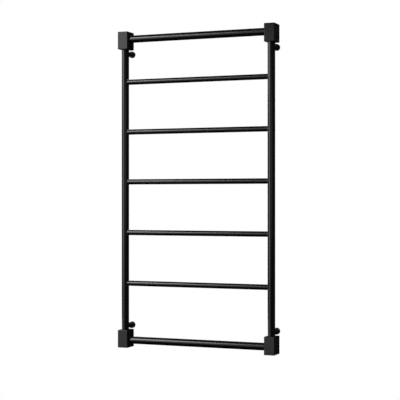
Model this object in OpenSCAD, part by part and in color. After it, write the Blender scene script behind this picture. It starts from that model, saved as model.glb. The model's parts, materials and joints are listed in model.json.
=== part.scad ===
// Wall-mounted electric towel warmer rack.
// Two uprights, a top bar, a bottom bar and five thinner rungs, joined by four hollow corner blocks.
// A heating cable runs through the tubes, and four telescopic standoffs hold the rack off the wall.
// X runs to the right, Y towards the wall and Z up, in millimetres.
// The origin is the centre of the four wall fixings, on the wall's surface.

/* [Overall] */
// Width over the corner blocks
rack_w = 500; // [400:5:700]
// Distance from the tube axes to the wall
wall_gap = 50; // [48:1:60]

/* [Bar spacing] */
// Top bar to the first rung
top_gap = 130; // [90:1:200]
// Pitch of the two gaps below the first rung
upper_pitch = 151; // [90:1:200]
// Pitch of the two gaps above the last rung
lower_pitch = 153.5; // [90:0.5:200]
// Last rung to the bottom bar
bottom_gap = 172; // [90:1:220]

/* [Tubes] */
// Outer diameter of the uprights and of the top and bottom bars
tube_d = 22.2; // [21:0.1:23]
// Wall of the uprights and of the top and bottom bars
tube_wall = 1.5; // [1:0.1:2]
// Outer diameter of the rungs
rung_d = 16; // [13:0.5:18]
// Wall of the rungs
rung_wall = 1.2; // [0.8:0.1:2]

/* [Corner blocks] */
// Width of a block, across the rack
block_w = 32; // [31:0.5:40]
// Height of a block
block_h = 53; // [52:0.5:70]
// Depth of a block, front to back
block_d = 47; // [46:0.5:60]
// Front face of a block to the tube axes
block_front = 20.5; // [20:0.5:22]
// Outer end of a block to the axis of the top or bottom bar
bar_inset = 22; // [21:0.5:24]
// Bevel on the edges of a block
block_bevel = 0.6; // [0.2:0.1:1.2]
// Depth of the socket for an upright
upright_socket = 12; // [8:0.5:13]
// Depth of the socket for the top or bottom bar
bar_socket = 8; // [7:0.5:8.5]
// Lip that a tube's end seats on
socket_lip = 2; // [1:0.5:3]
// How far the lip reaches inside a tube's bore
lip_reveal = 0.6; // [0.2:0.1:1]
// Front wall of the chamber
front_wall = 4.5; // [4:0.5:6]
// Outer side wall of the chamber
side_wall = 5.5; // [4:0.5:5.5]
// Outer end wall of the chamber
end_wall = 10; // [8:0.5:11]

/* [Rear covers] */
// Thickness of a cover
cover_t = 2.2; // [1.5:0.1:4]
// Thickness of the gasket under it
gasket_t = 1; // [0.5:0.1:1.5]
// Rim of the block around the cover
cover_rim = 2; // [1:0.1:2.2]
// Cover's edge to the centre of a screw
cover_screw_edge = 4; // [3.6:0.1:5]

/* [Wall standoffs] */
// Inner end of a block to the axis of a standoff
standoff_offset = 10; // [7:1:40]
// Outer diameter of an arm
arm_d = 12; // [11:0.5:14]
// Wall of an arm
arm_wall = 2; // [1.5:0.1:2.5]
// Wall's surface to the end of an arm
arm_end_gap = 6; // [5.8:0.1:7]
// Outer diameter of a rosette
rosette_d = 20; // [18.5:0.5:30]
// Length of a rosette
rosette_l = 10; // [9.5:0.5:12]
// Bevel on the front edge of a rosette
rosette_bevel = 0.8; // [0.2:0.1:2]
// Diameter of the post's flange
post_flange_d = 16; // [14.5:0.5:17]
// Thickness of the post's flange
post_flange_t = 2.5; // [1.5:0.1:2.6]
// Length of a post, with its flange
post_l = 28; // [24:1:32]
// Hole through a post for the wall screw
wall_screw_hole_d = 4.3; // [3:0.1:5]
// End of an arm to the axis of its grub screw
arm_grub_setback = 10; // [9.5:0.5:12]

/* [Heating cable] */
// Diameter of the cable
cable_d = 4; // [3:0.5:5]
// Bend radius of the cable, to its middle
cable_bend_r = 9; // [8:0.5:10]
// Length of the grommets that carry the cable in the tube ends
grommet_l = 8; // [4:1:8]
// Diameter of the splice sleeve and of the thermal cut-out
capsule_d = 9; // [7:0.5:14]
// Length of the splice sleeve
splice_l = 26; // [15:1:40]
// Length of the thermal cut-out
cutout_l = 28; // [15:1:40]
// Tube's end to the splice sleeve
splice_setback = 12; // [9:1:30]
// Diameter of the end seal
end_seal_d = 7; // [6.5:0.5:9]
// Length of the end seal
end_seal_l = 14; // [8:0.5:15]
// End seal to the chamber's wall
end_seal_gap = 1.5; // [0.5:0.5:3]

/* [Terminals] */
// Width of the terminal body, across the poles
terminal_w = 15.6; // [14.8:0.1:16]
// Room for the wires past each end of the terminal body
terminal_end_room = 5.5; // [5:0.1:7]
// Height of the terminal body
terminal_h = 11; // [9:0.5:12]
// End of the base, with its two ears, to the chamber's wall
base_end_gap = 2; // [1:0.1:2.3]
// Thickness of the base
terminal_base_t = 2; // [1:0.1:2.4]
// Pitch of the three poles
pole_pitch = 5; // [4.7:0.1:5.2]
// Outer diameter of a pole's brass sleeve
sleeve_d = 4.4; // [3.8:0.1:4.5]
// End of the terminal body to the end of a pole's brass sleeve
sleeve_inset = 1; // [0.5:0.1:1.5]
// End of the terminal body to a clamping screw
clamp_edge = 3; // [2.5:0.1:4]
// End of an ear to the centre of its screw
ear_edge = 1.7; // [1.7:0.1:1.9]
// Diameter of an insulated wire
wire_d = 2; // [1.2:0.1:2]
// Bend radius of a wire, to its middle
wire_bend_r = 2.5; // [1.8:0.1:2.6]
// Pitch of the three wires where they leave the bar
wire_pitch = 2.4; // [2.2:0.1:2.5]
// How far a wire runs on past its clamping screw
wire_past_clamp = 1.5; // [1:0.5:2]

/* [Earth connection] */
// Width of the boss for the earth screw
earth_boss_w = 6; // [5.6:0.2:6.4]
// Depth of the boss
earth_boss_depth = 8; // [7.5:0.5:10]
// Thickness of the earth tag
tag_t = 0.8; // [0.5:0.1:1]
// Wall of the tag's barrel
tag_barrel_wall = 0.5; // [0.3:0.1:0.6]
// Centre of the earth screw to the tag's barrel
tag_barrel_offset = 4.5; // [4:0.5:5]
// Tag's barrel to the bend of the wire that leaves it
tag_bend_gap = 0.7; // [0.3:0.1:2]
// Head of the earth screw to the gland's thread
earth_head_gap = 3.5; // [3:0.1:5]

/* [Cable gland] */
// Thread diameter of the gland
gland_thread_d = 12; // [10:0.5:12]
// Width across flats of the gland, its cap and its locknut
gland_af = 15; // [14:0.5:15.5]
// Bore for the supply cable
gland_bore_d = 7; // [5:0.5:7.5]
// Height of the gland's hexagon
gland_hex_l = 4.5; // [3:0.5:5]
// Length of the gland's cap
gland_cap_l = 8.5; // [7:0.5:9]
// Height of the locknut
locknut_t = 3; // [2:0.5:3.5]
// Thickness of the washer under the gland
gland_washer_t = 0.8; // [0.5:0.1:1]
// Wall of the gland's seal
gland_seal_wall = 1; // [0.8:0.1:1.2]
// Inner face of the hexagon to the seat of the seal
gland_seal_seat = 2; // [1:0.5:3]
// How far the seal stands out of the neck, until the cap presses it in
gland_seal_proud = 1; // [0.5:0.5:1.5]
// Thickness of the cap's end
gland_cap_end = 3; // [2:0.5:4]
// Thread of the gland past its locknut
gland_thread_spare = 1; // [0.5:0.5:2]

/* [Fasteners] */
// Diameter of the grub screws in the corner blocks
grub_d = 4; // [3:0.5:4]
// Seat of a cover's gasket to the end of a grub screw
grub_below_seat = 2.1; // [1:0.1:4]
// Seat of the bar to the axis of its grub screw
bar_grub_setback = 3.5; // [3:0.5:4]
// Diameter of the grub screws in the arms
arm_grub_d = 3; // [2.5:0.5:4]
// Length of the grub screws in the arms
arm_grub_l = 3; // [2:0.5:4]
// Diameter of the cover screws and of the earth screw
m3_d = 3; // [2.5:0.1:3.2]
// Head diameter of the cover screws and of the earth screw
m3_head_d = 5.6; // [5:0.1:5.8]
// Height of the earth screw's head
m3_head_t = 2; // [1.5:0.1:2.2]
// Length of the cover screws and of the earth screw
m3_l = 8; // [6:0.5:8]
// Diameter of the small screws on the terminal body
small_screw_d = 2.5; // [2:0.1:2.6]
// Length of the small screws that fix the terminal body
small_screw_l = 5; // [4:0.5:5.5]
// Head diameter of the small screws that fix the terminal body
small_screw_head_d = 3.2; // [2.8:0.1:3.3]
// Head height of the small screws that fix the terminal body
small_screw_head_t = 1.1; // [1:0.1:1.3]

/* [Clearances] */
// Radial clearance of a tube in its socket or hole
tube_clear = 0.1; // [0.05:0.05:0.3]
// Radial clearance of a sliding fit
slide_clear = 0.05; // [0.02:0.01:0.1]
// Radial clearance of a screw in its thread
thread_clear = 0.05; // [0.02:0.01:0.1]
// Clearance around covers, gaskets and loose inner pieces
loose_clear = 0.2; // [0.1:0.05:0.3]

/* [Hidden] */
$fn = 64;
cut = 1; // how far a cutting tool runs past the face that it opens
drill_spare = 0.5; // a tapped hole is this much deeper than its screw
through_wall = 0.7; // how far a rung's or an arm's end is past the upright's outer surface, at its sides
slot_w = 0.6; // screwdriver slots
slot_depth = 0.7;

// name, side and end of each corner
CORNERS = [["top_left", -1, 1], ["top_right", 1, 1], ["bottom_left", -1, -1], ["bottom_right", 1, -1]];
TOP_LEFT = CORNERS[0];
BOTTOM_RIGHT = CORNERS[3];

// the ladder
tube_r = tube_d / 2;
bore_r = tube_r - tube_wall;
rung_r = rung_d / 2;
upright_x = (rack_w - block_w) / 2;
bar_span = top_gap + 2 * upper_pitch + 2 * lower_pitch + bottom_gap;
rack_h = bar_span + 2 * bar_inset;
bar_z = bar_span / 2;
rung_1_z = bar_z - top_gap;
rung_5_z = bottom_gap - bar_z;
rung_z = [rung_1_z, rung_1_z - upper_pitch, rung_1_z - 2 * upper_pitch, rung_5_z + lower_pitch, rung_5_z];
rung_end_x = upright_x - sqrt(tube_r * tube_r - rung_r * rung_r) + through_wall;

// a corner block: +x outwards, +z to the outer end, +y to the wall, from where the tube axes cross
block_r = block_w / 2;
block_back = block_d - block_front;
block_in = bar_inset - block_h;
upright_seat = block_in + upright_socket;
bar_seat = bar_socket - block_r;
lip_d = 2 * (bore_r - lip_reveal);
chamber_in = upright_seat + socket_lip;
chamber_out = bar_inset - end_wall;
chamber_near = bar_seat + socket_lip;
chamber_far = block_r - side_wall;
chamber_front = front_wall - block_front;
chamber_x = (chamber_near + chamber_far) / 2;
chamber_z = (chamber_in + chamber_out) / 2;
gasket_y = block_back - cover_t - gasket_t;
cover_y = block_back - cover_t;
cover_screw_x = block_r - cover_rim - cover_screw_edge;
cover_screw_z = [block_in + cover_rim + cover_screw_edge, bar_inset - cover_rim - cover_screw_edge];
bar_grub_x = bar_seat - bar_grub_setback;
upright_grub_z = block_in + upright_socket / 2;
grub_tip_y = tube_r + tube_clear;
grub_end_y = gasket_y - grub_below_seat;

// standoffs
standoff_z = rack_h / 2 - block_h - standoff_offset;
arm_r = arm_d / 2;
arm_bore_r = arm_r - arm_wall;
arm_front_y = sqrt(tube_r * tube_r - arm_r * arm_r) - through_wall;
arm_back_y = wall_gap - arm_end_gap;
post_r = arm_bore_r - slide_clear;
arm_grub_tip = post_r + loose_clear;

// gland, along y through the cover of the bottom right block
gland_thread_l = gland_washer_t + cover_t + locknut_t + gland_thread_spare;
gland_hex_y = block_back + gland_washer_t;
gland_inner_y = gland_hex_y - gland_thread_l;
gland_cap_y = gland_hex_y + gland_hex_l + loose_clear;
gland_neck_d = gland_thread_d - 1;
gland_seal_end = gland_cap_y + gland_cap_l - gland_cap_end;
gland_neck_end = gland_seal_end - gland_seal_proud;
seal_d = gland_bore_d + 2 * gland_seal_wall;
seal_y = gland_hex_y + gland_seal_seat;

// supply end, inside the bottom right block
splice_end = bar_seat - splice_setback;
cutout_end = splice_end - splice_l;
cable_start = cutout_end - cutout_l;
end_seal_end = chamber_far - end_seal_gap;
cable_end = end_seal_end - end_seal_d / 2;
terminal_y = chamber_front + terminal_h;
pole_y = chamber_front + terminal_h / 2;
pole_x = [for (i = [-1 : 1]) chamber_x + i * pole_pitch];
chamber_half = (chamber_out - chamber_in) / 2;
terminal_l = 2 * (chamber_half - terminal_end_room);
terminal_base_l = 2 * (chamber_half - base_end_gap);
sleeve_l = terminal_l - 2 * sleeve_inset;
clamp_offset = terminal_l / 2 - clamp_edge;
clamp_z = [chamber_z - clamp_offset, chamber_z + clamp_offset];
turn_offset = terminal_l / 2 + wire_bend_r + loose_clear;
wire_turn_z = chamber_z - turn_offset;
link_turn_z = chamber_z + turn_offset;
ear_offset = terminal_base_l / 2 - ear_edge;
ear_screw_z = [chamber_z - ear_offset, chamber_z + ear_offset];
tag_bore_d = wire_d + 2 * tube_clear;
tag_barrel_d = tag_bore_d + 2 * tag_barrel_wall;
tag_barrel_z = chamber_z + tag_barrel_offset;
tag_barrel_l = link_turn_z - wire_bend_r - tag_bend_gap - tag_barrel_z;
ear_screw_tip = chamber_front + terminal_base_t - small_screw_l;
earth_boss_y = gland_inner_y - earth_head_gap - m3_head_t - tag_t;
earth_screw_tip = earth_boss_y + tag_t - m3_l;

DARK = "#1c1c1d";
STEEL = "#9a9c9e";
BRASS = "#b99a4b";
PLASTIC = "#d9d6cc";
RUBBER = "#3a3a3a";

// ---- shared shapes ----

// place a corner's pieces, mirrored from the top right one
module at_corner(c) {
    translate([c[1] * upright_x, -wall_gap, c[2] * bar_z])
        mirror([c[1] < 0 ? 1 : 0, 0, 0])
            mirror([0, 0, c[2] < 0 ? 1 : 0])
                children();
}

// place a standoff's pieces: origin on the upright's axis, y towards the wall
module at_standoff(c) {
    translate([c[1] * upright_x, -wall_gap, c[2] * standoff_z]) children();
}

// a round bar from y0 to y1
module rod_y(d, y0, y1, sides = $fn) {
    translate([0, y0, 0]) rotate([-90, 0, 0]) cylinder(h = y1 - y0, d = d, $fn = sides);
}

// a round bar from x0 to x1
module rod_x(d, x0, x1) {
    translate([x0, 0, 0]) rotate([0, 90, 0]) cylinder(h = x1 - x0, d = d);
}

// a hexagonal bar from y0 to y1, flats to the sides
module hex_y(flats, y0, y1) {
    translate([0, y0, 0]) rotate([-90, 30, 0]) cylinder(h = y1 - y0, d = flats / cos(30), $fn = 6);
}

// a screwdriver slot in a head that ends at y
module slot(d, y) {
    translate([-d, y - slot_depth, -slot_w / 2]) cube([2 * d, slot_depth + cut, slot_w]);
}

// an outline with cut corners
module bevelled_outline(w, h, bevel) {
    polygon([[bevel, 0], [w - bevel, 0], [w, bevel], [w, h - bevel],
        [w - bevel, h], [bevel, h], [0, h - bevel], [0, bevel]]);
}

// a box with all its edges bevelled
module bevelled_box(size, bevel) {
    intersection() {
        linear_extrude(size[2]) bevelled_outline(size[0], size[1], bevel);
        translate([0, size[1], 0]) rotate([90, 0, 0])
            linear_extrude(size[1]) bevelled_outline(size[0], size[2], bevel);
        rotate([90, 0, 90]) linear_extrude(size[0]) bevelled_outline(size[1], size[2], bevel);
    }
}

// a quarter bend at p, from direction a to direction b
module bend(p, a, b, d, r) {
    c = p + r * (b - a);
    n = cross(a, b);
    multmatrix([[-b[0], a[0], n[0], c[0]],
        [-b[1], a[1], n[1], c[1]],
        [-b[2], a[2], n[2], c[2]],
        [0, 0, 0, 1]])
        rotate_extrude(angle = 90) translate([r, 0]) circle(d = d);
}

// a straight round bar from p to q, along one of the axes
module straight(p, q, d) {
    v = q - p;
    turn = abs(v[0]) > 0 ? [0, 90, 0] : abs(v[1]) > 0 ? [-90, 0, 0] : [0, 0, 0];
    start = [min(p[0], q[0]), min(p[1], q[1]), min(p[2], q[2])];
    translate(start) rotate(turn) cylinder(h = norm(v), d = d);
}

// a bent wire through points whose legs run along the axes
module bent_wire(points, d, r) {
    last = len(points) - 1;
    way = [for (i = [0 : last - 1]) (points[i + 1] - points[i]) / norm(points[i + 1] - points[i])];
    for (i = [0 : last - 1])
        straight(points[i] + (i > 0 ? r : 0) * way[i], points[i + 1] - (i < last - 1 ? r : 0) * way[i], d);
    for (i = [1 : last - 1])
        bend(points[i], way[i - 1], way[i], d, r);
}

// ---- the ladder ----

module upright(side) {
    end_z = bar_z + upright_seat;
    color(DARK) translate([side * upright_x, -wall_gap, 0]) difference() {
        translate([0, 0, -end_z]) cylinder(h = 2 * end_z, r = tube_r);
        translate([0, 0, -end_z - cut]) cylinder(h = 2 * (end_z + cut), r = bore_r);
        for (z = rung_z)
            translate([0, 0, z]) rotate([0, -90 * side, 0]) cylinder(h = tube_d, r = rung_r + tube_clear);
        for (end = [-1, 1])
            translate([0, 0, end * standoff_z]) rod_y(arm_d + 2 * tube_clear, 0, tube_d);
    }
}

// a tube along x, centred on the rack
module cross_tube(z, half, d, wall) {
    color(DARK) translate([0, -wall_gap, z]) difference() {
        rod_x(d, -half, half);
        rod_x(d - 2 * wall, -half - cut, half + cut);
    }
}

module end_bar(end) {
    cross_tube(end * bar_z, upright_x + bar_seat, tube_d, tube_wall);
}

module rung(i) {
    cross_tube(rung_z[i], rung_end_x, rung_d, rung_wall);
}

// ---- corner blocks ----

module corner_block(c) {
    color(DARK) at_corner(c) difference() {
        block_body(c == BOTTOM_RIGHT);
        // sockets for the upright and the bar
        translate([0, 0, block_in - cut]) cylinder(h = upright_socket + cut, r = tube_r + tube_clear);
        translate([0, 0, upright_seat - cut]) cylinder(h = socket_lip + 2 * cut, d = lip_d);
        rod_x(tube_d + 2 * tube_clear, -block_r - cut, bar_seat);
        rod_x(lip_d, bar_seat - cut, chamber_near + cut);
        // seat for the gasket and the cover
        translate([-block_r + cover_rim, gasket_y, block_in + cover_rim])
            cube([block_w - 2 * cover_rim, cover_t + gasket_t + cut, block_h - 2 * cover_rim]);
        for_cover_screws() rod_y(m3_d + 2 * thread_clear, block_back - m3_l - drill_spare, block_back);
        for_block_grubs() rod_y(grub_d + 2 * thread_clear, 0, gasket_y + cut);
    }
}

// the block with its chamber, and in one block the places for the terminals and the earth screw
module block_body(has_terminals) {
    difference() {
        translate([-block_r, -block_front, block_in]) bevelled_box([block_w, block_d, block_h], block_bevel);
        difference() {
            translate([chamber_near, chamber_front, chamber_in])
                cube([chamber_far - chamber_near, block_d, chamber_out - chamber_in]);
            if (has_terminals) earth_boss();
        }
        if (has_terminals) {
            for (z = ear_screw_z)
                translate([chamber_x, 0, z])
                    rod_y(small_screw_d + 2 * thread_clear, ear_screw_tip - drill_spare, chamber_front + cut);
            translate([pole_x[2], 0, chamber_z])
                rod_y(m3_d + 2 * thread_clear, earth_boss_y - earth_boss_depth - cut, earth_boss_y + cut);
        }
    }
}

module earth_boss() {
    translate([pole_x[2] - earth_boss_w / 2, earth_boss_y - earth_boss_depth, chamber_z - earth_boss_w / 2])
        cube([chamber_far - pole_x[2] + earth_boss_w / 2 + cut, earth_boss_depth, earth_boss_w]);
}

module for_cover_screws() {
    for (x = [-cover_screw_x, cover_screw_x], z = cover_screw_z)
        translate([x, 0, z]) children();
}

module for_block_grubs() {
    translate([bar_grub_x, 0, 0]) children();
    translate([0, 0, upright_grub_z]) children();
}

// a plate that lies in the cover's seat, from y to y + t
module cover_plate(y, t) {
    gap = cover_rim + loose_clear;
    translate([-block_r + gap, y, block_in + gap]) cube([block_w - 2 * gap, t, block_h - 2 * gap]);
}

module cover(c) {
    color(DARK) at_corner(c) difference() {
        cover_plate(cover_y, cover_t);
        for_cover_screws() countersunk(loose_clear / 2);
        if (c == BOTTOM_RIGHT)
            at_gland() rod_y(gland_thread_d + 2 * tube_clear, cover_y - cut, block_back + cut);
    }
}

module gasket(c) {
    color(RUBBER) at_corner(c) difference() {
        cover_plate(gasket_y, gasket_t);
        translate([chamber_near, gasket_y - cut, chamber_in])
            cube([chamber_far - chamber_near, gasket_t + 2 * cut, chamber_out - chamber_in]);
        for_cover_screws() rod_y(m3_d + 2 * loose_clear, gasket_y - cut, cover_y + cut);
    }
}

// a countersunk screw's outline, grown by a clearance
module countersunk(grow) {
    head = m3_head_d / 2;
    shank = m3_d / 2;
    translate([0, block_back, 0]) rotate([90, 0, 0]) {
        translate([0, 0, -grow]) cylinder(h = head - shank + grow, r1 = head + grow, r2 = shank + grow);
        cylinder(h = m3_l, r = shank + grow);
    }
}

module cover_screws() {
    color(STEEL) for (c = CORNERS) at_corner(c) for_cover_screws() difference() {
        countersunk(0);
        hex_y(m3_d * 0.7, block_back - m3_d / 3, block_back + cut);
    }
}

// a grub screw from y0 to y1, with its hexagonal socket at y1
module grub_screw(d, y0, y1) {
    difference() {
        rod_y(d, y0, y1);
        hex_y(d / 2, y1 - (y1 - y0) / 3, y1 + cut);
    }
}

module corner_grub_screws() {
    color(STEEL) for (c = CORNERS) at_corner(c) for_block_grubs()
        grub_screw(grub_d, grub_tip_y, grub_end_y);
}

// ---- wall standoffs ----

module arm(c) {
    color(DARK) at_standoff(c) difference() {
        rod_y(arm_d, arm_front_y, arm_back_y);
        rod_y(2 * arm_bore_r, arm_front_y - cut, arm_back_y + cut);
        translate([0, arm_back_y - arm_grub_setback, -arm_d])
            cylinder(h = arm_d, d = arm_grub_d + 2 * thread_clear);
    }
}

module arm_grub_screws() {
    color(STEEL) for (c = CORNERS) at_standoff(c)
        translate([0, arm_back_y - arm_grub_setback, 0]) rotate([-90, 0, 0])
            grub_screw(arm_grub_d, arm_grub_tip, arm_grub_tip + arm_grub_l);
}

module post(c) {
    color(STEEL) at_standoff(c) difference() {
        union() {
            rod_y(2 * post_r, wall_gap - post_l, wall_gap);
            rod_y(post_flange_d, wall_gap - post_flange_t, wall_gap);
        }
        rod_y(wall_screw_hole_d, wall_gap - post_l - cut, wall_gap + cut);
    }
}

module rosette(c) {
    outer = rosette_d / 2;
    bore = arm_r + slide_clear;
    seat = post_flange_d / 2 + tube_clear;
    seat_t = post_flange_t + tube_clear;
    color(DARK) at_standoff(c) translate([0, wall_gap, 0]) rotate([90, 0, 0])
        rotate_extrude() polygon([[seat, 0], [outer, 0], [outer, rosette_l - rosette_bevel],
            [outer - rosette_bevel, rosette_l], [bore, rosette_l], [bore, seat_t], [seat, seat_t]]);
}

// ---- heating cable ----

// the cable's corners: along the bottom bar, then back and forth through the rungs up to the top bar
function cable_points() =
    let (y = -wall_gap, x = upright_x, n = len(rung_z) - 1)
    concat([[x + cable_start, y, -bar_z], [-x, y, -bar_z]],
        [for (i = [0 : n], leg = [-1, 1]) [leg * pow(-1, i) * x, y, rung_z[n - i]]],
        [[x, y, bar_z], [-x - cable_end, y, bar_z]]);

module heating_cable() {
    color("#7a1f1a") bent_wire(cable_points(), cable_d, cable_bend_r);
}

// a rubber plug inside a tube's end, which the cable passes through
module grommet(hole) {
    difference() {
        cylinder(h = grommet_l, r = bore_r - tube_clear);
        translate([0, 0, -cut]) cylinder(h = grommet_l + 2 * cut, d = hole);
    }
}

module bar_grommet(hole) {
    translate([bar_seat - grommet_l, 0, 0]) rotate([0, 90, 0]) grommet(hole);
}

module upright_grommet(hole) {
    translate([0, 0, upright_seat - grommet_l]) grommet(hole);
}

module cable_grommets() {
    hole = cable_d + 2 * loose_clear;
    color(RUBBER) {
        at_corner(CORNERS[0]) bar_grommet(hole);
        at_corner(CORNERS[1]) {
            bar_grommet(hole);
            upright_grommet(hole);
        }
        at_corner(CORNERS[2]) {
            bar_grommet(hole);
            upright_grommet(hole);
        }
    }
}

module lead_grommet() {
    color(RUBBER) at_corner(BOTTOM_RIGHT) bar_grommet(2 * wire_pitch + wire_d + 2 * loose_clear);
}

// a cap over the cable's far end, inside the top left block
module end_seal() {
    mouth = end_seal_end - end_seal_l;
    color(RUBBER) at_corner(TOP_LEFT) difference() {
        rod_x(end_seal_d, mouth, end_seal_end);
        rod_x(cable_d + 2 * tube_clear, mouth - cut, cable_end + tube_clear);
    }
}

module thermal_cutout() {
    r = capsule_d / 2;
    bevel = r / 4;
    color("#c9c4b4") at_corner(BOTTOM_RIGHT) translate([cable_start, 0, 0]) rotate([0, 90, 0])
        rotate_extrude() polygon([[0, 0], [r - bevel, 0], [r, bevel], [r, cutout_l - bevel],
            [r - bevel, cutout_l], [0, cutout_l]]);
}

module splice_sleeve() {
    color("#2b2b60") at_corner(BOTTOM_RIGHT) rod_x(capsule_d, cutout_end, splice_end);
}

// live, neutral and earth, from the splice to the inner side of the terminals
module lead_wires() {
    color("#b0b0b0") at_corner(BOTTOM_RIGHT) for (i = [0 : 2]) {
        z = (i - 1) * wire_pitch;
        bent_wire([[splice_end, 0, z], [pole_x[i], 0, z], [pole_x[i], 0, wire_turn_z],
            [pole_x[i], pole_y, wire_turn_z], [pole_x[i], pole_y, clamp_z[0] + wire_past_clamp]],
            wire_d, wire_bend_r);
    }
}

// ---- terminals ----

module terminal_body() {
    color(PLASTIC) at_corner(BOTTOM_RIGHT) difference() {
        union() {
            translate([chamber_x - terminal_w / 2, chamber_front, chamber_z - terminal_l / 2])
                cube([terminal_w, terminal_h, terminal_l]);
            translate([chamber_x - pole_pitch / 2, chamber_front, chamber_z - terminal_base_l / 2])
                cube([pole_pitch, terminal_base_t, terminal_base_l]);
        }
        for (x = pole_x) {
            translate([x, pole_y, chamber_z - terminal_l])
                cylinder(h = 2 * terminal_l, d = sleeve_d + 2 * thread_clear);
            for (z = clamp_z)
                translate([x, 0, z]) rod_y(small_screw_d + 2 * loose_clear, pole_y, terminal_y + cut);
        }
        for (z = ear_screw_z) translate([chamber_x, 0, z])
            rod_y(small_screw_d + 2 * tube_clear, chamber_front - cut, chamber_front + terminal_base_t + cut);
    }
}

module terminal_sleeves() {
    color(BRASS) at_corner(BOTTOM_RIGHT) for (x = pole_x) translate([x, pole_y, chamber_z]) difference() {
        cylinder(h = sleeve_l, d = sleeve_d, center = true);
        cylinder(h = sleeve_l + 2 * cut, d = wire_d + 2 * tube_clear, center = true);
        for (z = clamp_z)
            translate([0, 0, z - chamber_z]) rod_y(small_screw_d + 2 * thread_clear, 0, sleeve_d);
    }
}

module terminal_screws() {
    tip = pole_y + wire_d / 2 + tube_clear;
    head = terminal_y - loose_clear;
    color(STEEL) at_corner(BOTTOM_RIGHT) for (x = pole_x, z = clamp_z) translate([x, 0, z]) difference() {
        rod_y(small_screw_d, tip, head);
        slot(small_screw_d, head);
    }
}

module terminal_fixing_screws() {
    seat = chamber_front + terminal_base_t;
    color(STEEL) at_corner(BOTTOM_RIGHT) for (z = ear_screw_z) translate([chamber_x, 0, z]) difference() {
        union() {
            rod_y(small_screw_d, ear_screw_tip, seat + cut);
            rod_y(small_screw_head_d, seat, seat + small_screw_head_t);
        }
        slot(small_screw_head_d, seat + small_screw_head_t);
    }
}

// ---- earth connection ----

module earth_tag() {
    ring_r = earth_boss_w / 2;
    color(BRASS) at_corner(BOTTOM_RIGHT) translate([pole_x[2], earth_boss_y, 0]) difference() {
        union() {
            translate([0, 0, chamber_z]) rod_y(2 * ring_r, 0, tag_t);
            translate([-wire_d / 2, 0, chamber_z]) cube([wire_d, tag_t, tag_barrel_z - chamber_z]);
            translate([0, tag_barrel_d / 2, tag_barrel_z]) cylinder(h = tag_barrel_l, d = tag_barrel_d);
        }
        translate([0, 0, chamber_z]) rod_y(m3_d + 2 * tube_clear, -cut, tag_t + cut);
        translate([0, tag_barrel_d / 2, tag_barrel_z + tag_barrel_wall])
            cylinder(h = tag_barrel_l, d = tag_bore_d);
    }
}

module earth_screw() {
    seat = earth_boss_y + tag_t;
    color(STEEL) at_corner(BOTTOM_RIGHT) translate([pole_x[2], 0, chamber_z]) difference() {
        union() {
            rod_y(m3_d, earth_screw_tip, seat + cut);
            rod_y(m3_head_d, seat, seat + m3_head_t);
        }
        hex_y(m3_d * 0.7, seat + m3_head_t / 2, seat + m3_head_t + cut);
    }
}

module earth_link() {
    x = pole_x[2];
    tag_y = earth_boss_y + tag_barrel_d / 2;
    color("#4f8f3a") at_corner(BOTTOM_RIGHT)
        bent_wire([[x, tag_y, tag_barrel_z + tag_barrel_wall + tube_clear], [x, tag_y, link_turn_z],
            [x, pole_y, link_turn_z], [x, pole_y, clamp_z[1] - wire_past_clamp]], wire_d, wire_bend_r);
}

// ---- supply cable's gland ----

module at_gland() {
    translate([chamber_x, 0, chamber_z]) children();
}

module gland_body() {
    color(RUBBER) at_corner(BOTTOM_RIGHT) at_gland() difference() {
        union() {
            rod_y(gland_thread_d, gland_inner_y, gland_hex_y + cut);
            hex_y(gland_af, gland_hex_y, gland_hex_y + gland_hex_l);
            rod_y(gland_neck_d, gland_hex_y, gland_neck_end);
        }
        rod_y(gland_bore_d, gland_inner_y - cut, gland_neck_end + cut);
        rod_y(seal_d + 2 * tube_clear, seal_y, gland_neck_end + cut);
    }
}

module gland_washer() {
    color("#555555") at_corner(BOTTOM_RIGHT) at_gland() difference() {
        rod_y(gland_af, block_back, gland_hex_y);
        rod_y(gland_thread_d + 2 * tube_clear, block_back - cut, gland_hex_y + cut);
    }
}

module gland_locknut() {
    color(RUBBER) at_corner(BOTTOM_RIGHT) at_gland() difference() {
        hex_y(gland_af, cover_y - locknut_t, cover_y);
        rod_y(gland_thread_d + 2 * thread_clear, cover_y - locknut_t - cut, cover_y + cut);
    }
}

module gland_seal() {
    color("#555555") at_corner(BOTTOM_RIGHT) at_gland() difference() {
        rod_y(seal_d, seal_y, gland_seal_end);
        rod_y(gland_bore_d, seal_y - cut, gland_seal_end + cut);
    }
}

module gland_cap() {
    end = gland_cap_y + gland_cap_l;
    color(RUBBER) at_corner(BOTTOM_RIGHT) at_gland() difference() {
        hex_y(gland_af, gland_cap_y, end);
        rod_y(gland_neck_d + 2 * thread_clear, gland_cap_y - cut, gland_seal_end + tube_clear);
        rod_y(gland_bore_d, gland_cap_y, end + cut);
    }
}

// ---- nodes ----

upright(-1);  // left_upright
upright(1);  // right_upright
end_bar(1);  // top_bar
end_bar(-1);  // bottom_bar
for (i = [0 : 4])
    rung(i);

for (c = CORNERS) {
    corner_block(c);
    cover(c);
    gasket(c);
    arm(c);
    post(c);
    rosette(c);
}
cover_screws();
corner_grub_screws();
arm_grub_screws();

heating_cable();
cable_grommets();
lead_grommet();
end_seal();
thermal_cutout();
splice_sleeve();
lead_wires();

terminal_body();
terminal_sleeves();
terminal_screws();
terminal_fixing_screws();
earth_tag();
earth_screw();
earth_link();

gland_body();
gland_washer();
gland_locknut();
gland_seal();
gland_cap();
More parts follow.
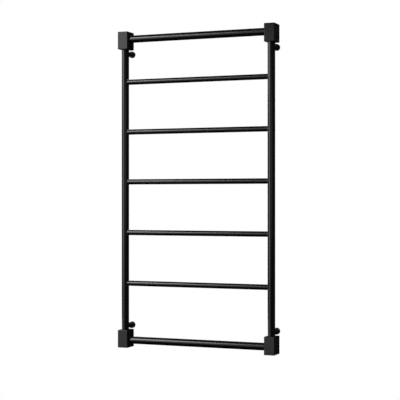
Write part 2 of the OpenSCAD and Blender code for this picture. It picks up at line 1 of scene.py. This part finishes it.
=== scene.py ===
"""Looks of a wall-mounted ladder towel warmer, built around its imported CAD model.

Every length is in metres, in the CAD model's frame: X runs to the right, Y into the wall and Z up, and the
origin is the centre of the four wall fixings. The tubes, blocks, covers, rosettes and the gland's cap are
modelled finely here, and each replaces its CAD node. Weld fillets are added. The standoff arms and posts,
the screws and all that is inside the rack keep their CAD shape and get their finish here.
"""
import json
from math import cos, pi, radians, sin, sqrt

import bpy
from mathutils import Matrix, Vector


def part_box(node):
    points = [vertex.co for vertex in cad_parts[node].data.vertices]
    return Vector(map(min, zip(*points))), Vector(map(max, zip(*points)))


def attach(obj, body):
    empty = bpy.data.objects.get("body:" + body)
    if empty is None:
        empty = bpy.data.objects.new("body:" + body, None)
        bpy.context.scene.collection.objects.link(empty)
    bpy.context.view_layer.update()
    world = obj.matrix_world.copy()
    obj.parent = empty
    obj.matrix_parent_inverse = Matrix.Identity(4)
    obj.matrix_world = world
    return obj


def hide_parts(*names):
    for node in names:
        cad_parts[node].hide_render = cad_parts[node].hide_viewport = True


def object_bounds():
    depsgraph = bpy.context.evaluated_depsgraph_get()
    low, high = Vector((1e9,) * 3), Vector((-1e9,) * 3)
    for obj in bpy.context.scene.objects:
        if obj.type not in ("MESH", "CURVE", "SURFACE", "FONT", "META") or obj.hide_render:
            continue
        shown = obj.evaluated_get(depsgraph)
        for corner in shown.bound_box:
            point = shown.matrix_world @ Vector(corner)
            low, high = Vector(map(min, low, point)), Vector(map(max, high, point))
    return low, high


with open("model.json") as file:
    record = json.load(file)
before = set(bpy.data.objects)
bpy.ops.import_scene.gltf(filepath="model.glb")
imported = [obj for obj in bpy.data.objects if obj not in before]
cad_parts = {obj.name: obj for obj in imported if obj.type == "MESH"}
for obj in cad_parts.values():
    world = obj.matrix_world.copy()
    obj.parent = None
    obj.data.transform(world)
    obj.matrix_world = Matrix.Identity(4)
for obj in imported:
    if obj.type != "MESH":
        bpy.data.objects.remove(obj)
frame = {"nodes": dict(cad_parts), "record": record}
cad_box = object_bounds()

MM = 0.001
SIDES = 96  # around a turned piece, so that it stays round when seen close

# how far a modelled piece stays inside the faces of the CAD solid that it is cut by
SKIN = 0.01 * MM
# points of a mesh that lie closer than this are one point
SAME_POINT = 0.002 * MM

# edges that turn by more than this many degrees stay sharp
SHARP_ANGLE = 35
WELD_SHARP_ANGLE = 50
# how much more a large face counts than a small one in the shading of the edge between them
LARGE_FACE_WEIGHT = 80

UPRIGHT_WALL = 1.5 * MM
RUNG_WALL = 1.2 * MM
DRILL_CLEARANCE = 0.1 * MM
BORE_OVERRUN = 2 * MM

WELD_LEG = 1.6 * MM
WELD_ROOT = 0.4 * MM
WELD_FACE_POINTS = 5

# rounded edges, each as a radius and the number of flats that make it up
TUBE_EDGE = (0.3 * MM, 2)
BLOCK_EDGE = (1.2 * MM, 4)
COVER_EDGE = (0.35 * MM, 3)
ROSETTE_EDGE = (1.2 * MM, 5)
CAP_EDGE = (1.4 * MM, 4)

SOCKET_CHAMFER = 0.4 * MM
ROSETTE_SEAT_R = 8.1 * MM
ROSETTE_SEAT_T = 2.6 * MM
SLIDE_CLEARANCE = 0.05 * MM
CAP_CORNER_R = 8.3 * MM

# the rotation that lays an upright primitive along an axis
ALONG = {"x": (0, pi / 2, 0), "y": (pi / 2, 0, 0), "z": (0, 0, 0)}

RUNGS = ["rung_1", "rung_2", "rung_3", "rung_4", "rung_5"]
LEFT_ARMS = ["arm_top_left", "arm_bottom_left"]

body_of = {node: body for body, nodes in frame["record"]["behaviour"]["bodies"].items() for node in nodes}
slot_of = {part["node"]: part["material_slot"] for part in frame["record"]["subparts"]}


# ---- modelling ----

def select_only(piece):
    bpy.ops.object.select_all(action="DESELECT")
    piece.select_set(True)
    bpy.context.view_layer.objects.active = piece


def settle(name):
    """Names the primitive or copy that is active and moves its place and size into its mesh."""
    piece = bpy.context.object
    select_only(piece)
    bpy.ops.object.transform_apply(location=True, rotation=True, scale=True)
    piece.name = name
    return piece


def edit_all(piece):
    """Opens a piece in edit mode, with all of it selected."""
    select_only(piece)
    bpy.ops.object.mode_set(mode="EDIT")
    bpy.ops.mesh.select_all(action="SELECT")


def round_selected(edge):
    """Rounds what is selected in edit mode, and closes the edit."""
    radius, flats = edge
    bpy.ops.mesh.bevel(offset=radius, segments=flats, affect="EDGES")
    bpy.ops.object.mode_set(mode="OBJECT")


def rounded_box(low, high, edge):
    """A box between two corners, with all its edges rounded."""
    bpy.ops.mesh.primitive_cube_add(size=1, location=(low + high) / 2)
    bpy.context.object.scale = high - low
    box = settle("box")
    edit_all(box)
    round_selected(edge)
    return box


def round_bar(axis, centre, radius, length):
    """A solid round bar along x, y or z."""
    bpy.ops.mesh.primitive_cylinder_add(vertices=SIDES, radius=radius, depth=length, location=centre,
                                        rotation=ALONG[axis])
    return settle("bar")


def round_end(piece, axis, place, edge):
    """Rounds the edges of the face of a piece that lies at that place on an axis."""
    i = "xyz".index(axis)
    select_only(piece)
    bpy.ops.object.mode_set(mode="EDIT")
    bpy.ops.mesh.select_mode(type="EDGE")
    bpy.ops.mesh.select_all(action="DESELECT")
    bpy.ops.object.mode_set(mode="OBJECT")
    corners = piece.data.vertices
    for line in piece.data.edges:
        line.select = all(abs(corners[k].co[i] - place) < SKIN / 2 for k in line.vertices)
    bpy.ops.object.mode_set(mode="EDIT")
    round_selected(edge)


def face_outwards(piece):
    edit_all(piece)
    bpy.ops.mesh.normals_make_consistent(inside=False)
    bpy.ops.object.mode_set(mode="OBJECT")


def merge_points(piece):
    """Makes loose triangles one skin, and takes out the slivers that a cut can leave."""
    edit_all(piece)
    bpy.ops.mesh.remove_doubles(threshold=SAME_POINT)
    bpy.ops.mesh.dissolve_degenerate(threshold=SAME_POINT)
    bpy.ops.object.mode_set(mode="OBJECT")


def apply_modifier(piece, kind, **settings):
    select_only(piece)
    modifier = piece.modifiers.new(kind.lower(), kind)
    for key, value in settings.items():
        setattr(modifier, key, value)
    bpy.ops.object.modifier_apply(modifier=modifier.name)


def cut(piece, *tools):
    """Cuts the tools out of a piece and uses them up."""
    for tool in tools:
        apply_modifier(piece, "BOOLEAN", operation="DIFFERENCE", solver="EXACT", object=tool)
        bpy.data.objects.remove(tool)


def keep_shared(piece, other):
    """Keeps only what a piece shares with the other one, which is used up."""
    apply_modifier(piece, "BOOLEAN", operation="INTERSECT", solver="EXACT", object=other)
    bpy.data.objects.remove(other)


def cad_copy(node):
    """A copy of a CAD node to cut with, its loose triangles merged into one skin."""
    copy = bpy.data.objects.new(node + "_copy", frame["nodes"][node].data.copy())
    bpy.context.scene.collection.objects.link(copy)
    select_only(copy)
    bpy.ops.mesh.customdata_custom_splitnormals_clear()
    merge_points(copy)
    return copy


def moved(piece, offset):
    """A copy of a piece, with its own mesh, moved by an offset."""
    select_only(piece)
    bpy.ops.object.duplicate()
    bpy.ops.transform.translate(value=offset)
    return settle("copy")


def mirrored(piece, axis):
    """A copy of a piece, with its own mesh, mirrored across the middle of the rack."""
    select_only(piece)
    bpy.ops.object.duplicate()
    bpy.context.object.scale["xyz".index(axis)] = -1
    copy = settle("copy")
    face_outwards(copy)
    return copy


def smooth(piece, angle=SHARP_ANGLE):
    """Smooth shading that keeps flat faces flat and real edges sharp."""
    select_only(piece)
    bpy.ops.object.shade_smooth_by_angle(angle=radians(angle))
    apply_modifier(piece, "WEIGHTED_NORMAL", keep_sharp=True, weight=LARGE_FACE_WEIGHT)


def stand_for(piece, node, name):
    """Gives a finished piece the body and the finish of the CAD node that it replaces."""
    merge_points(piece)
    smooth(piece)
    piece.name = piece.data.name = name
    piece.data.materials.clear()
    piece.data.materials.append(finishes[slot_of[node]])
    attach(piece, body_of[node])
    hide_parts(node)


def middle(node):
    low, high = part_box(node)
    return (low + high) / 2


def span(node):
    low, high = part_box(node)
    return high - low


# ---- finishes ----

# patches of thicker and thinner film
FILM_PATCH = 40 * MM
# the waves that the melted powder sets in
ORANGE_PEEL = 2.0 * MM
ORANGE_PEEL_HEIGHT = 0.03 * MM
# the texture that the grains of powder leave
POWDER_TEXTURE = 0.5 * MM
POWDER_TEXTURE_HEIGHT = 0.012 * MM

# most values of a noise lie between these
NOISE_LOW = 0.3
NOISE_HIGH = 0.7

# the sockets of a Mix node that mixes colours
MIX_FACTOR = 0
MIX_FIRST = 6
MIX_SECOND = 7
MIX_RESULT = 2


def linear(code):
    """A colour from its sRGB hex code."""
    levels = [int(code[i:i + 2], 16) / 255 for i in (1, 3, 5)]
    return [v / 12.92 if v <= 0.04045 else ((v + 0.055) / 1.055) ** 2.4 for v in levels] + [1.0]


def add_node(tree, kind, inputs, **settings):
    """Adds a node with its settings. An input is a value, or another node's output to link."""
    node = tree.nodes.new("ShaderNode" + kind)
    for key, value in settings.items():
        setattr(node, key, value)
    for key, value in inputs.items():
        if isinstance(value, bpy.types.NodeSocket):
            tree.links.new(value, node.inputs[key])
        else:
            node.inputs[key].default_value = value
    return node


def start_finish(name, **uniform):
    """A new material, its shader with the values that are the same all over, and the place on the piece."""
    finish = bpy.data.materials.new(name)
    finish.use_nodes = True
    tree = finish.node_tree
    tree.nodes.clear()
    shader = add_node(tree, "BsdfPrincipled", uniform)
    add_node(tree, "OutputMaterial", {"Surface": shader.outputs["BSDF"]})
    place = add_node(tree, "TexCoord", {}).outputs["Object"]
    return finish, tree, shader.inputs, place


def end_finish(tree, shader, noise, colours, roughness, relief):
    """Lets the colour and the roughness follow a noise, each between its two values, and adds the relief."""
    tone = add_node(tree, "Mix", {MIX_FACTOR: noise, MIX_FIRST: linear(colours[0]),
                                  MIX_SECOND: linear(colours[1])}, data_type="RGBA")
    gloss = add_node(tree, "MapRange", {"Value": noise, "From Min": NOISE_LOW, "From Max": NOISE_HIGH,
                                        "To Min": roughness[0], "To Max": roughness[1]})
    tree.links.new(tone.outputs[MIX_RESULT], shader["Base Color"])
    tree.links.new(gloss.outputs["Result"], shader["Roughness"])
    tree.links.new(relief.outputs["Normal"], shader["Normal"])


def powder_coat():
    # Polyester powder baked onto steel. It is near black with a satin gloss that varies slowly with the
    # thickness of the film. The melt leaves an orange peel, and the grains of powder a fine texture, and
    # both show as a faint unrest in the reflections from near by.
    finish, tree, shader, place = start_finish("satin_black_powder_coat", IOR=1.5)
    film = add_node(tree, "TexNoise", {"Vector": place, "Scale": 1 / FILM_PATCH, "Detail": 2.0})
    peel = add_node(tree, "TexNoise", {"Vector": place, "Scale": 1 / ORANGE_PEEL, "Detail": 1.0})
    powder = add_node(tree, "TexNoise", {"Vector": place, "Scale": 1 / POWDER_TEXTURE, "Detail": 2.0})
    waves = add_node(tree, "Bump", {"Height": peel.outputs["Fac"], "Strength": 1.0,
                                    "Distance": ORANGE_PEEL_HEIGHT})
    relief = add_node(tree, "Bump", {"Height": powder.outputs["Fac"], "Strength": 1.0,
                                     "Distance": POWDER_TEXTURE_HEIGHT, "Normal": waves.outputs["Normal"]})
    end_finish(tree, shader, film.outputs["Fac"], colours=("#0e0e0d", "#131312"), roughness=(0.15, 0.18),
               relief=relief)
    return finish


def grained(name, colours, roughness, spread, grain, detail, strength, height, **uniform):
    """A finish whose colour, roughness and relief all follow one grain of a given size and height."""
    finish, tree, shader, place = start_finish(name, **uniform)
    noise = add_node(tree, "TexNoise", {"Vector": place, "Scale": 1 / grain, "Detail": detail})
    relief = add_node(tree, "Bump", {"Height": noise.outputs["Fac"], "Strength": strength,
                                     "Distance": height})
    end_finish(tree, shader, noise.outputs["Fac"], colours, (roughness - spread, roughness + spread), relief)
    return finish


def metal(name, dark, light, roughness, mark):
    """A turned, drawn or plated metal, with tool marks of a given size."""
    return grained(name, (dark, light), roughness, spread=0.06, grain=mark, detail=4.0, strength=0.4,
                   height=0.01 * MM, Metallic=1.0)


def polymer(name, dark, light, roughness, grain, ior):
    """A moulded or extruded plastic or rubber, with the grain of its mould or die."""
    return grained(name, (dark, light), roughness, spread=0.05, grain=grain, detail=3.0, strength=0.5,
                   height=0.02 * MM, IOR=ior)


finishes = {
    "powder_coat": powder_coat(),
    # steel screws with a thin dark oxide
    "blackened_steel": metal("blackened_steel", "#242427", "#3b3b40", 0.42, 0.4 * MM),
    # steel under a bluish zinc plating, dulled by its passivation
    "bright_steel": metal("zinc_plated_steel", "#8b8f93", "#b2b6b9", 0.34, 0.5 * MM),
    # free-cutting brass, bright from the lathe
    "brass": metal("turned_brass", "#a18243", "#c9a968", 0.30, 0.3 * MM),
    # nitrile rubber, dull, with a bloom
    "gasket_rubber": polymer("nitrile_rubber", "#1a1a1a", "#2b2b2b", 0.75, 0.8 * MM, 1.52),
    # extruded silicone, soft red-brown
    "cable_jacket": polymer("silicone_rubber", "#691e19", "#7f2c24", 0.50, 1.2 * MM, 1.41),
    # moulded polyamide with a fine spark-eroded grain
    "black_nylon": polymer("black_polyamide", "#141415", "#222223", 0.48, 0.3 * MM, 1.53),
    "white_nylon": polymer("natural_polyamide", "#d6d1c3", "#e6e1d5", 0.50, 0.3 * MM, 1.53),
    # polyolefin sleeve, shrunk and faintly wrinkled
    "heat_shrink": polymer("polyolefin_sleeve", "#1b1b24", "#292935", 0.55, 1.5 * MM, 1.49),
    # PVC insulation, smooth from the die
    "wire_insulation": polymer("brown_pvc_insulation", "#5c3921", "#6f472a", 0.36, 1.0 * MM, 1.53),
    "earth_insulation": polymer("green_pvc_insulation", "#3c7a20", "#62a02c", 0.36, 1.0 * MM, 1.53),
}
for node, part in frame["nodes"].items():
    part.data.materials.clear()
    part.data.materials.append(finishes[slot_of[node]])


# ---- tubes ----

def tube(node, axis, wall):
    """A drawn tube in the place of a CAD tube, with its cut ends deburred."""
    size, centre = span(node), middle(node)
    length = size["xyz".index(axis)]
    radius = min(size) / 2
    piece = round_bar(axis, centre, radius, length)
    cut(piece, round_bar(axis, centre, radius - wall, length + BORE_OVERRUN))
    for end in (-1, 1):
        round_end(piece, axis, centre["xyz".index(axis)] + end * length / 2, TUBE_EDGE)
    return piece


def drilled_upright():
    """The left upright, drilled for the rungs at its inner side and for the arms at its back."""
    node = "left_upright"
    piece = tube(node, "z", UPRIGHT_WALL)
    axis = middle(node)
    depth = min(span(node))
    for rung in RUNGS:
        centre = Vector((axis.x + depth / 2, axis.y, middle(rung).z))
        cut(piece, round_bar("x", centre, min(span(rung)) / 2 + DRILL_CLEARANCE, depth))
    for arm in LEFT_ARMS:
        centre = Vector((axis.x, axis.y + depth / 2, middle(arm).z))
        cut(piece, round_bar("y", centre, min(span(arm)) / 2 + DRILL_CLEARANCE, depth))
    return piece


left_upright = drilled_upright()
stand_for(mirrored(left_upright, "x"), "right_upright", "upright_right")
stand_for(left_upright, "left_upright", "upright_left")

top_bar = tube("top_bar", "x", UPRIGHT_WALL)
stand_for(moved(top_bar, middle("bottom_bar") - middle("top_bar")), "bottom_bar", "bar_bottom")
stand_for(top_bar, "top_bar", "bar_top")

first_rung = tube("rung_1", "x", RUNG_WALL)
for rung in RUNGS[1:]:
    stand_for(moved(first_rung, middle(rung) - middle("rung_1")), rung, rung + "_tube")
stand_for(first_rung, "rung_1", "rung_1_tube")


# ---- welds ----

def fillet(centre, along, upright_r, tube_r):
    """A ring of weld where a tube enters an upright. Its hollow face runs from the upright to the tube, and
    its root is sunk into both. centre is on the upright's axis, and along points from it along the tube."""
    section = []
    for i in range(WELD_FACE_POINTS):
        turn = pi / 2 * i / (WELD_FACE_POINTS - 1)
        section.append((WELD_LEG * (1 - sin(turn)) - SKIN, WELD_LEG * (1 - cos(turn)) - SKIN))
    section += [(-WELD_ROOT, WELD_LEG), (-WELD_ROOT, -WELD_ROOT)]
    bpy.ops.mesh.primitive_torus_add(major_segments=SIDES, minor_segments=len(section),
                                     major_radius=tube_r, minor_radius=WELD_LEG)
    ring = settle("fillet")
    across = Vector((0, 0, 1)).cross(along)
    for i, vertex in enumerate(ring.data.vertices):
        turn = 2 * pi * (i // len(section)) / SIDES
        out, lift = section[i % len(section)]
        side, height = (tube_r + out) * sin(turn), (tube_r + out) * cos(turn)
        reach = sqrt(upright_r ** 2 - side ** 2) + lift
        vertex.co = centre + reach * along + side * across + Vector((0, 0, height))
    face_outwards(ring)
    return ring


def weld_fillets():
    """All the fillets of the rack in one piece. The first of each kind is copied and mirrored."""
    axis = middle("left_upright")
    upright_r = min(span("left_upright")) / 2
    joints = ((RUNGS, Vector((1, 0, 0))), (LEFT_ARMS, Vector((0, 1, 0))))
    rings = []
    for tubes, along in joints:
        start = Vector((axis.x, axis.y, middle(tubes[0]).z))
        first = fillet(start, along, upright_r, min(span(tubes[0])) / 2)
        rings.append(first)
        rings += [moved(first, middle(other) - middle(tubes[0])) for other in tubes[1:]]
    rings += [mirrored(ring, "x") for ring in rings]
    select_only(rings[0])
    for ring in rings:
        ring.select_set(True)
    bpy.ops.object.join()
    welds = settle("weld_fillets")
    smooth(welds, WELD_SHARP_ANGLE)
    welds.data.materials.append(finishes["powder_coat"])
    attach(welds, "rack")


weld_fillets()


# ---- corner blocks, covers and standoffs ----

def milled(node, edge):
    """A milled piece in the place of a CAD solid, with the same hollows and rounded outer edges."""
    low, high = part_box(node)
    skin = Vector((SKIN, SKIN, SKIN))
    piece = rounded_box(low + skin, high - skin, edge)
    keep_shared(piece, cad_copy(node))
    return piece


def deburring_cone(axis, centre, radius, outwards):
    """A cone that takes the sharp edge off a socket's mouth. outwards is 1 or -1, along the axis."""
    wide = radius + SOCKET_CHAMFER
    ends = (radius, wide) if outwards > 0 else (wide, radius)
    bpy.ops.mesh.primitive_cone_add(vertices=SIDES, radius1=ends[0], radius2=ends[1],
                                    depth=SOCKET_CHAMFER, location=centre, rotation=ALONG[axis])
    return settle("cone")


def corner_block(corner):
    """A milled block with deburred sockets for the upright and the bar."""
    block = milled("corner_" + corner, BLOCK_EDGE)
    low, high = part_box("corner_" + corner)
    side = 1 if low.x > 0 else -1
    end = 1 if low.z > 0 else -1
    upright, bar = middle("left_upright"), middle("top_bar")
    radius = min(span("left_upright")) / 2 + DRILL_CLEARANCE
    half = SOCKET_CHAMFER / 2 - SKIN
    inner_x = (low.x if side > 0 else high.x) + side * half
    inner_z = (low.z if end > 0 else high.z) + end * half
    bar_mouth = Vector((inner_x, bar.y, end * bar.z))
    upright_mouth = Vector((-side * upright.x, upright.y, inner_z))
    cut(block, deburring_cone("x", bar_mouth, radius, -side),
        deburring_cone("z", upright_mouth, radius, -end))
    return block


def fit_corners(part, plain, special):
    """The plain piece and its mirror images take three corners. The special one, at the bottom right, has
    the places for the terminals and the gland."""
    pieces = {"top_left": plain, "top_right": mirrored(plain, "x"), "bottom_left": mirrored(plain, "z"),
              "bottom_right": special}
    for corner, piece in pieces.items():
        stand_for(piece, part + "_" + corner, "milled_" + part + "_" + corner)


fit_corners("corner", corner_block("top_left"), corner_block("bottom_right"))
fit_corners("cover", milled("cover_top_left", COVER_EDGE), milled("cover_bottom_right", COVER_EDGE))


def rosette():
    """The top left rosette: a turned sleeve over the foot of a standoff, its front edge rounded."""
    low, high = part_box("rosette_top_left")
    centre = (low + high) / 2
    length = high.y - low.y
    piece = round_bar("y", centre, (high.z - low.z) / 2, length)
    round_end(piece, "y", low.y, ROSETTE_EDGE)
    bore_r = min(span("arm_top_left")) / 2 + SLIDE_CLEARANCE
    seat = Vector((centre.x, high.y, centre.z))
    cut(piece, round_bar("y", centre, bore_r, 2 * length),
        round_bar("y", seat, ROSETTE_SEAT_R, 2 * ROSETTE_SEAT_T))
    return piece


first_rosette = rosette()
for corner in ("top_right", "bottom_left", "bottom_right"):
    offset = middle("rosette_" + corner) - middle("rosette_top_left")
    stand_for(moved(first_rosette, offset), "rosette_" + corner, "turned_rosette_" + corner)
stand_for(first_rosette, "rosette_top_left", "turned_rosette_top_left")


def gland_cap():
    """The gland's hexagonal cap, with the corners of its end turned off."""
    low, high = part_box("gland_cap")
    cap = round_bar("y", (low + high) / 2, CAP_CORNER_R, high.y - low.y - 2 * SKIN)
    round_end(cap, "y", high.y - SKIN, CAP_EDGE)
    keep_shared(cap, cad_copy("gland_cap"))
    return cap


stand_for(gland_cap(), "gland_cap", "turned_gland_cap")


# ---- stage, light and camera ----

CAMERA_AZIMUTH = radians(22.5)
CAMERA_DISTANCE = 3.518
CAMERA_SIDE = 10.2 * MM
CAMERA_DROP = 31.4 * MM
CAMERA_LENS = 106.96
CAMERA_SENSOR = 36
FLOOR_DROP = 0.9
STAGE_RADIUS = 30
STAGE_SEGMENTS = 48
WORLD_GLOW = 0.01

# azimuth to the right of the rack's front and elevation in degrees, distance, width, height, and watts
SOFTBOXES = {
    # for the front: two keys high on the left, wide soft walls beside them, and a rim from the right
    "key_inner": (-30, 28, 4.0, 1.2, 1.4, 23.3),
    "key_outer": (-42, 34, 4.0, 1.2, 1.4, 41.9),
    "left_wall": (-48, 8, 4.0, 3.3, 2.2, 27),
    "left_front": (-34, -1, 4.0, 3.5, 2.3, 20.5),
    "left_side": (-62, 15, 4.0, 1.2, 0.9, 15.3),
    "front": (30, 4, 3.0, 1.6, 0.8, 2.1),
    "right_rim": (80, 45, 4.0, 1.4, 1.4, 104),
    # for the back, the sides and the top, where they give the tubes no rim that shows from the front
    "back_low_left": (-118, -20, 4.0, 3.4, 1.2, 36),
    "back_low_right": (98, -28, 4.0, 2.4, 1.0, 12),
    "back_high": (175, 50, 4.0, 2.0, 1.4, 60),
    "back_high_left": (-120, 36, 4.0, 1.6, 1.4, 40),
    "overhead": (180, 78, 4.0, 1.6, 1.6, 30),
}

aim = Vector((0, middle("top_bar").y, 0))


def camera():
    """A long lens to the right of the rack's front, level and a little below its middle."""
    lens = bpy.data.cameras.new("camera")
    lens.sensor_width = CAMERA_SENSOR
    lens.lens = CAMERA_LENS
    back = Vector((sin(CAMERA_AZIMUTH), -cos(CAMERA_AZIMUTH), 0))
    right = Vector((cos(CAMERA_AZIMUTH), sin(CAMERA_AZIMUTH), 0))
    eye = bpy.data.objects.new("camera", lens)
    eye.location = aim + CAMERA_DISTANCE * back + CAMERA_SIDE * right - Vector((0, 0, CAMERA_DROP))
    eye.rotation_euler = (pi / 2, 0, CAMERA_AZIMUTH)
    bpy.context.scene.collection.objects.link(eye)
    bpy.context.scene.camera = eye


def softbox(name, azimuth, elevation, distance, width, height, watts):
    """A soft light that faces the rack."""
    turn, lift = radians(azimuth), radians(elevation)
    way = Vector((sin(turn) * cos(lift), -cos(turn) * cos(lift), sin(lift)))
    light = bpy.data.lights.new(name, "AREA")
    light.shape = "RECTANGLE"
    light.size = width
    light.size_y = height
    light.energy = watts
    lamp = bpy.data.objects.new(name, light)
    lamp.location = aim + distance * way
    lamp.rotation_euler = way.to_track_quat("Z", "Y").to_euler()
    lamp.visible_camera = False
    bpy.context.scene.collection.objects.link(lamp)


def stage():
    """A white floor below the hung rack and a white surround, which glow evenly like a light table."""
    finish = bpy.data.materials.new("white_light_table")
    finish.use_nodes = True
    shader = finish.node_tree.nodes["Principled BSDF"].inputs
    shader["Base Color"].default_value = linear("#000000")
    shader["Specular IOR Level"].default_value = 0.0
    shader["Emission Color"].default_value = linear("#ffffff")
    shader["Emission Strength"].default_value = 1.0
    bpy.ops.mesh.primitive_plane_add(size=2 * STAGE_RADIUS, location=(0, 0, cad_box[0].z - FLOOR_DROP))
    floor = settle("floor")
    bpy.ops.mesh.primitive_uv_sphere_add(segments=STAGE_SEGMENTS, ring_count=STAGE_SEGMENTS // 2,
                                         radius=STAGE_RADIUS)
    surround = settle("surround")
    for surface in (floor, surround):
        surface.data.materials.append(finish)
        surface.visible_diffuse = False
        surface.visible_glossy = False
        surface.visible_shadow = False


camera()
stage()
for name, settings in SOFTBOXES.items():
    softbox(name, *settings)

world = bpy.data.worlds.new("studio")
world.use_nodes = True
world.node_tree.nodes["Background"].inputs["Color"].default_value = linear("#ffffff")
world.node_tree.nodes["Background"].inputs["Strength"].default_value = WORLD_GLOW
bpy.context.scene.world = world
bpy.context.scene.view_settings.view_transform = "Standard"
